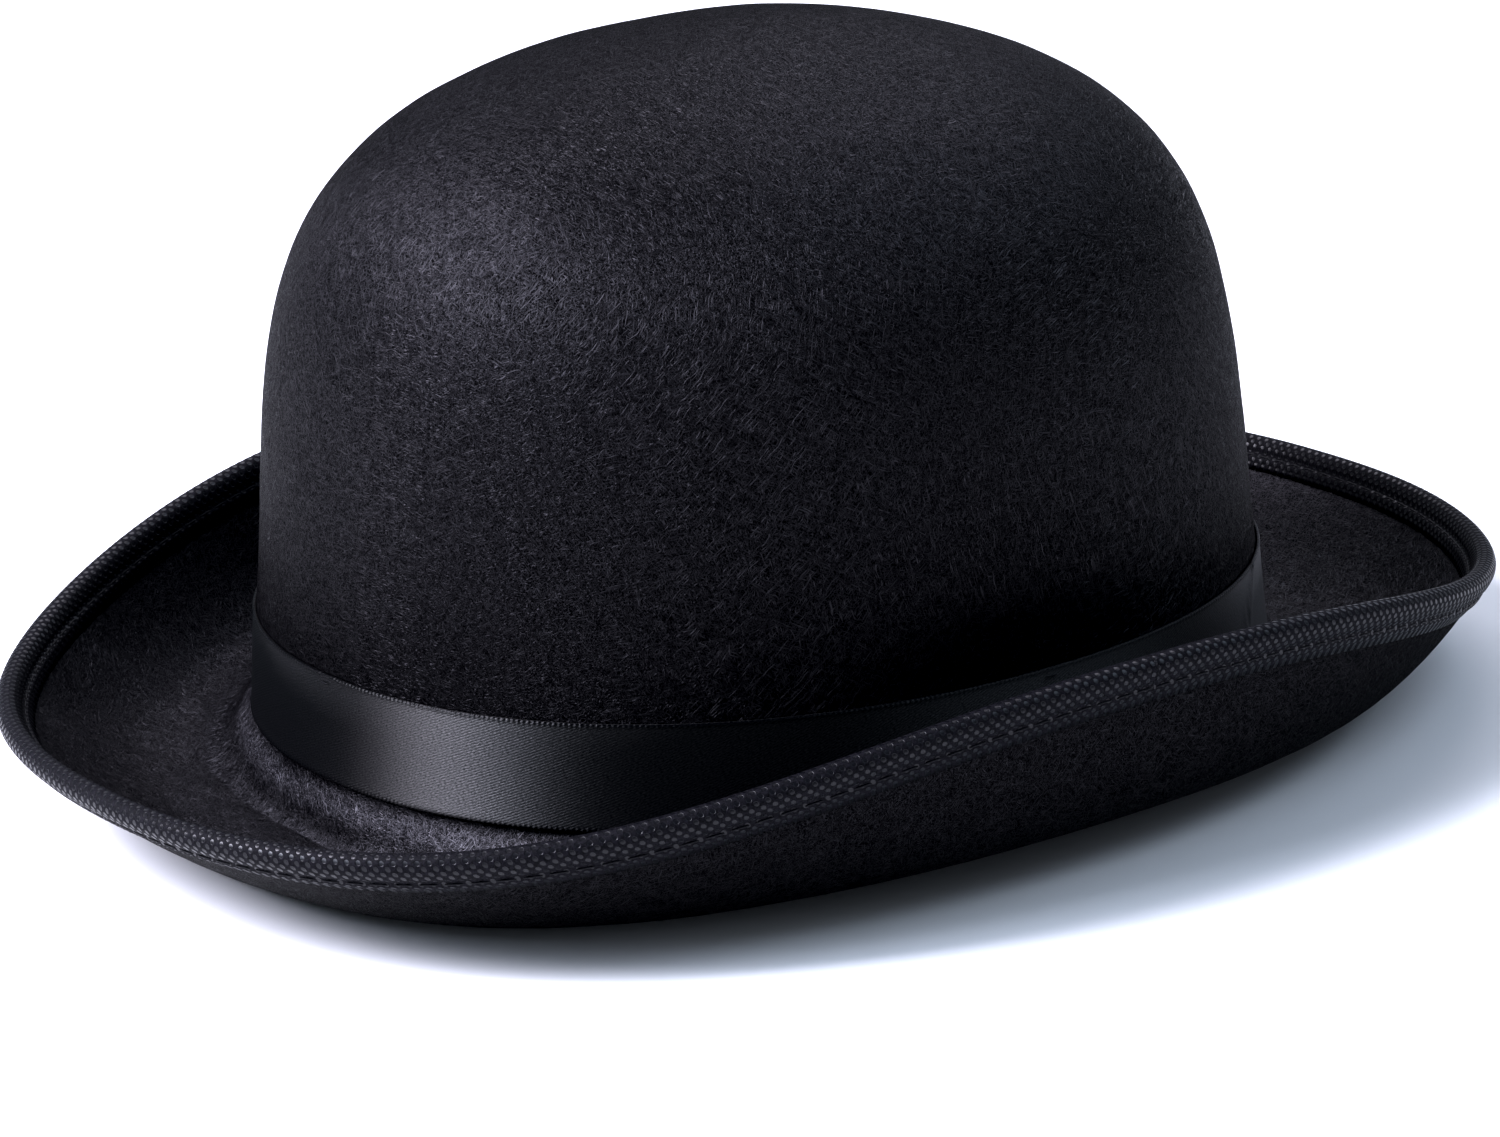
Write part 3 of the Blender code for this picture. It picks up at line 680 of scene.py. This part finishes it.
# Where the rows of the ribbon's face lie, as shares of its width
RIBBON_ROWS = (0, 0.012, 0.028, 0.045, 0.07, 0.14, 0.26, 0.4, 0.6, 0.74, 0.86, 0.93, 0.955, 0.972, 0.988, 1.0)
RIBBON_WIDTH = 20 * MM  # rounded; only the seam of its lap is placed by it
RIBBON_LAP = 14 * MM
RIBBON_SHORT = 0.2 * MM  # how much narrower the ribbon is than its CAD node
LAP_RISE = (9 * MM, 1 * MM)  # how far before a whole turn the lap starts and ends to rise
PICOT, PICOT_HEIGHT, PICOT_REACH = 1.0 * MM, 0.12 * MM, 0.1 * MM
RIBBON_WAVE = 0.12 * MM
RIBBON_CREASE = RIGHT + math.radians(218)  # towards the back of the wearer's left side
CREASE_DEPTH, CREASE_WIDTH, CREASE_SLANT = 0.35 * MM, 1.2 * MM, 14 * MM


def make_ribbon(material):
    width = band_high[2] - band_low[2] - RIBBON_SHORT
    begin = angle_at(RIGHT, -RIBBON_LAP / 2)
    angles, whole = wall_angles(RIBBON_COLUMNS, begin, 1 + RIBBON_LAP / GIRTH)
    run = np.linspace(0, whole + RIBBON_LAP, RIBBON_COLUMNS)
    over = smooth_step(run, *(whole - rise for rise in LAP_RISE)) * (RIBBON + GAP)
    picots = (1 + np.cos(2 * math.pi * run / PICOT)) / 2
    crease_run = np.interp(RIBBON_CREASE, angles, run)
    waves = smooth_noise(np.stack([run, run * 0, run * 0], axis=-1), 50 * MM, seed=3.0)
    rows = []
    for share in RIBBON_ROWS:
        near = min(share, 1 - share)
        outermost = near < RIBBON_ROWS[1] / 2
        lift = over + RIBBON * (0.45 if outermost else 0.75) + hump(near, 0.012, 0.016) * picots * PICOT_HEIGHT
        lift += RIBBON_WAVE * (1 + waves) * (2 * share - 1) ** 2
        lift += CREASE_DEPTH * hump(run, crease_run + (share - 0.6) * CREASE_SLANT, CREASE_WIDTH)
        ring = wall(angles, GAP + share * width, FELT + GAP + lift)
        if outermost:
            ring[:, 2] += PICOT_REACH * picots * np.sign(share - 0.5)
        rows.append(ring)
    back = np.array([wall(angles, GAP + share * width, FELT + GAP * 0.6 + over) for share in BACK_ROWS])
    points, faces = closed_shell(np.array(rows), back, False)
    piece = place_piece("satin_ribbon", points, faces, material, "hat_band")
    across = np.repeat(width * np.array([*RIBBON_ROWS, *BACK_ROWS]), RIBBON_COLUMNS)
    uv_from(piece, np.tile(run, len(RIBBON_ROWS) + len(BACK_ROWS)), across)


def make_upright_stitches(name, node, material, angle, outset, bottom, top, pitch):
    """A row of stitches up the wall at an angle, seen from the side that outset's sign says."""
    count = max(2, round((top - bottom) / pitch)) * STITCH_POINTS
    heights = np.linspace(bottom, top, count)
    side = 1 if outset > 0 else -1
    beside = angle + np.array([-0.001, 0.0, 0.001])
    ring = np.array([wall(beside, h, 0.0) for h in heights])
    along = ring[:, 2] - ring[:, 0]
    out = np.stack([along[:, 1], -along[:, 0], np.zeros(count)], axis=-1)
    out /= np.linalg.norm(out, axis=1, keepdims=True)
    lift = abs(outset) + stitched(heights - bottom, pitch)
    path = ring[:, 1] + out * (side * lift)[:, None]
    points, faces = tube(path, out, THREAD * 0.8, 8, False)
    place_piece(name, points, faces, material, node)


TACK_HALF, TACK_RADIUS = 1.3 * MM, 0.13 * MM
TACK_ARCH, TACK_SINK = 0.2 * MM, 0.45 * MM


def make_tack(name, node, material):
    """A short arched length of thread over the ribbon's top edge, its ends sunk into it."""
    middle = sum(node_box(node)) / 2
    out = np.array([middle[0], middle[1], 0.0]) / np.linalg.norm(middle[:2])
    along = np.cross([0, 0, 1], out)
    part = np.linspace(-1, 1, 15)
    path = middle + along * (part * TACK_HALF)[:, None] + out * ((1 - part**4) * TACK_ARCH - TACK_SINK)[:, None]
    points, faces = tube(path, np.broadcast_to(out, path.shape), TACK_RADIUS * (1 - 0.6 * part**8), 8, False)
    place_piece(name, points, faces, material, node)


# Where the rows of an inner strip's face lie, as shares of its width
STRIP_ROWS = (0, 0.02, 0.06, 0.14, 0.28, 0.42, 0.58, 0.72, 0.86, 0.94, 0.98, 1.0)


def inner_strip(name, node, material, size, start, bottom, outset, puff, lap=0.0, columns=500):
    """A strip of cloth or foam round the inside of the wall, from an angle, with its thickness to the head.
    Size is its length, width and thickness. Outset is how far its back lies from the felt's inside."""
    length, width, thickness = size
    angles, _ = wall_angles(columns, start, length / GIRTH)
    run = np.linspace(0, length, columns)
    over = smooth_step(run, length - lap - 6 * MM, length - lap) * (thickness + GAP) if lap else run * 0
    soft = smooth_noise(np.stack([run, run * 0, run * 0], axis=-1), 30 * MM, seed=4.0)
    inner = []
    for share in STRIP_ROWS:
        near = min(share, 1 - share)
        round_off = thickness * 0.45 * (1 - smooth_step(near, -0.03, 0.07))
        deep = outset - over - thickness + round_off - puff * 4 * share * (1 - share) * (1 + 0.5 * soft)
        inner.append(wall(angles, bottom + share * width, deep))
    outer = [wall(angles, bottom + share * width, outset - over) for share in BACK_ROWS]
    points, faces = closed_shell(np.array(inner)[:, ::-1], np.array(outer)[:, ::-1], False)
    piece = place_piece(name, points, faces, material, node)
    across = np.repeat(width * np.array([*STRIP_ROWS, *BACK_ROWS]), columns)
    uv_from(piece, np.tile(run[::-1], len(STRIP_ROWS) + len(BACK_ROWS)), across)
    return piece


def make_level_stitches(name, node, material, start, length, height, depth, pitch):
    """A row of stitches along the inside of the wall, at a height and a depth in from the felt."""
    count = round(length / pitch) * STITCH_POINTS
    angles, _ = wall_angles(count, start, length / GIRTH)
    lengths = np.linspace(0, length, count)
    path = wall(angles, height, -depth - stitched(lengths, pitch))
    out = wall(angles, height, 1.0) - wall(angles, height, 0.0)
    points, faces = tube(path, out, THREAD * 0.8, 6, False)
    place_piece(name, points, faces, material, node)


SWEATBAND = 0.8 * MM
SWEATBAND_WIDTH = 27 * MM
SWEATBAND_BOTTOM = 1.0 * MM
SWEATBAND_SEAM = 2.6 * MM  # its thread above the break
SWEATBAND_LAP = 12 * MM
CLEAR_OF_LAP = 30 * MM  # how far its thread stays away from the lap's middle
STRIP = (480 * MM, 20 * MM, 1.5 * MM)
LABEL = (24 * MM, 16 * MM, 0.4 * MM)
LABEL_FROM_BACK = 22 * MM
LABEL_SEAM = (2 * MM, 1 * MM)  # how far the label's stitches stay in from its sides and its bottom
LINING_BOTTOM = 6 * MM  # where the strip and the label start above the break
ON_SWEATBAND = 2 * GAP + SWEATBAND
LAP_SEAM = 1.6 * MM  # how far a lap's seam stays in from the lap's end
SEAM_CLEAR = 2 * MM  # and from the strip's edges
SHORT_STITCH, LONG_STITCH = 2.5 * MM, 4 * MM


def make_inside(cloth, velour, satin, black_thread, white_thread):
    flat = (round(float(GIRTH + SWEATBAND_LAP), 3), SWEATBAND_WIDTH)
    band = inner_strip("sweatband_cloth", "sweatband", cloth, (*flat, SWEATBAND),
                       angle_at(BACK, -SWEATBAND_LAP / 2), SWEATBAND_BOTTOM, -GAP, 0.0, SWEATBAND_LAP, 900)
    make_level_stitches("sweatband_foot_stitches", "sweatband_thread", black_thread,
                        angle_at(BACK, CLEAR_OF_LAP), GIRTH - 2 * CLEAR_OF_LAP, SWEATBAND_SEAM, GAP + SWEATBAND,
                        LONG_STITCH)
    low, high = SWEATBAND_BOTTOM + SEAM_CLEAR, SWEATBAND_BOTTOM + SWEATBAND_WIDTH - SEAM_CLEAR
    make_upright_stitches("sweatband_lap_stitches", "sweatband_lap_thread", black_thread,
                          angle_at(BACK, SWEATBAND_LAP / 2 - LAP_SEAM), -2 * (GAP + SWEATBAND), low, high,
                          SHORT_STITCH)
    strip = inner_strip("velour_strip", "sizing_strip", velour, STRIP,
                        angle_at(FRONT, -STRIP[0] / 2), LINING_BOTTOM, -ON_SWEATBAND, 0.15 * MM)
    label_start = LABEL_FROM_BACK - LABEL[0] / 2
    label = inner_strip("plain_label", "care_label", satin, LABEL, angle_at(BACK, label_start),
                        LINING_BOTTOM, -ON_SWEATBAND, 0.1 * MM, 0.0, 60)
    aside, above = LABEL_SEAM
    make_level_stitches("label_stitches", "care_label_thread", white_thread,
                        angle_at(BACK, label_start + aside), LABEL[0] - 2 * aside, LINING_BOTTOM + above,
                        ON_SWEATBAND + LABEL[2], SHORT_STITCH)


# ---------------------------------------------------------------- the studio

FLOOR_SIZE = 30.0
WORLD_COLOUR, WORLD_STRENGTH = (0.85, 0.95, 1.1, 1), 0.28
VIEW_GAMMA, VIEW_BLACK = 0.9, 0.0022
TARGET_HEIGHT = BREAK + 50 * MM  # of the point that the camera and the lights are placed round
LIGHTS = (  # name, azimuth and elevation in degrees, distance, size, power, colour
    ("key", -29, 42, 1.6, (0.6, 1.0), 66, (0.98, 0.95, 1.1)),
    ("fill", -13, 40, 1.6, (0.7, 1.0), 20, (0.88, 0.97, 1.18)),
    ("back", 232, 48, 2.2, (1.6, 1.2), 20, (0.98, 0.94, 1.08)),
    ("rim", 197, 25, 1.8, (0.7, 0.9), 1.8, (0.88, 0.95, 1.2)),
    ("side", 147, 50, 2.0, (1.3, 1.3), 14, (0.8, 0.95, 1.18)),
)


def set_view():
    view = bpy.context.scene.view_settings
    view.view_transform = "Standard"
    view.gamma = VIEW_GAMMA
    view.use_curve_mapping = True
    view.curve_mapping.black_level = (VIEW_BLACK, VIEW_BLACK, VIEW_BLACK)
    view.curve_mapping.update()


def make_studio():
    world = bpy.data.worlds.new("studio")
    bpy.context.scene.world = world
    world.use_nodes = True
    background = world.node_tree.nodes["Background"]
    background.inputs["Color"].default_value = WORLD_COLOUR
    background.inputs["Strength"].default_value = WORLD_STRENGTH
    bpy.ops.mesh.primitive_plane_add(size=FLOOR_SIZE, location=(0, 0, 0))
    floor = bpy.context.object
    floor.name = "floor"
    floor.data.materials.append(Nodes("pale floor", (0.9, 0.9, 0.9), 0.9).material)


# The camera, as fitted to the hat's outline
VIEW_AZIMUTH = math.radians(53.77)
VIEW_ELEVATION = math.radians(16.07)
VIEW_YAW = math.radians(0.115)
VIEW_PITCH = math.radians(1.721)
VIEW_ROLL = math.radians(-2.305)
VIEW_DISTANCE = 1.0
SENSOR_WIDTH = 36.0
LENS = 124.176


def direction(azimuth, elevation):
    return Vector((
        math.sin(azimuth) * math.cos(elevation), -math.cos(azimuth) * math.cos(elevation), math.sin(elevation),
    ))


def make_camera():
    camera = bpy.data.objects.new("camera", bpy.data.cameras.new("camera"))
    bpy.context.scene.collection.objects.link(camera)
    back = direction(VIEW_AZIMUTH + VIEW_YAW, VIEW_ELEVATION + VIEW_PITCH)
    right = (-back).cross(Vector((0, 0, 1))).normalized()
    up = right.cross(-back)
    c, s = math.cos(VIEW_ROLL), math.sin(VIEW_ROLL)
    right, up = right * c + up * s, up * c - right * s
    turn = Matrix((right, up, back)).transposed()
    place = direction(VIEW_AZIMUTH, VIEW_ELEVATION) * VIEW_DISTANCE + Vector((0, 0, TARGET_HEIGHT))
    camera.matrix_world = Matrix.Translation(place) @ turn.to_4x4()
    camera.data.sensor_fit = "HORIZONTAL"
    camera.data.sensor_width = SENSOR_WIDTH
    camera.data.lens = LENS
    camera.data.clip_start = 0.05
    camera.data.clip_end = 60.0
    bpy.context.scene.camera = camera


def area_light(name, azimuth, elevation, distance, size, power, colour):
    data = bpy.data.lights.new(name, "AREA")
    data.shape = "RECTANGLE"
    data.size, data.size_y = size
    data.energy = power
    data.color = colour
    lamp = bpy.data.objects.new(name, data)
    bpy.context.scene.collection.objects.link(lamp)
    away = direction(math.radians(azimuth), math.radians(elevation))
    place = Matrix.Translation(Vector((0, 0, TARGET_HEIGHT)) + away * distance)
    lamp.matrix_world = place @ away.to_track_quat("Z", "Y").to_matrix().to_4x4()


def main():
    set_view()
    make_felt(felt_material())
    make_binding(binding_material())
    sewing = thread_material("black sewing thread", TAPE_BLACK)
    make_binding_stitches("binding_upper_stitches", "binding_needle_thread", 1, sewing)
    make_binding_stitches("binding_lower_stitches", "binding_bobbin_thread", -1, sewing)
    make_ribbon(ribbon_material())
    make_upright_stitches("ribbon_lap_stitches", "band_lap_thread", sewing,
                          angle_at(RIGHT, RIBBON_LAP / 2 - LAP_SEAM), FELT + 2 * (GAP + RIBBON),
                          GAP + SEAM_CLEAR, GAP + RIBBON_WIDTH - SEAM_CLEAR, SHORT_STITCH)
    for place in ("front", "left", "back"):
        make_tack(f"ribbon_tack_{place}", f"band_tack_{place}", sewing)
    make_inside(cloth_material("black ribbed cotton", (0.022, 0.021, 0.021), 1.1 * MM), velour_material(),
                label_material(), thread_material("black seam thread", (0.03, 0.03, 0.03)),
                thread_material("white seam thread", (0.75, 0.75, 0.74)))
    make_studio()
    for light in LIGHTS:
        area_light(*light)
    make_camera()


main()
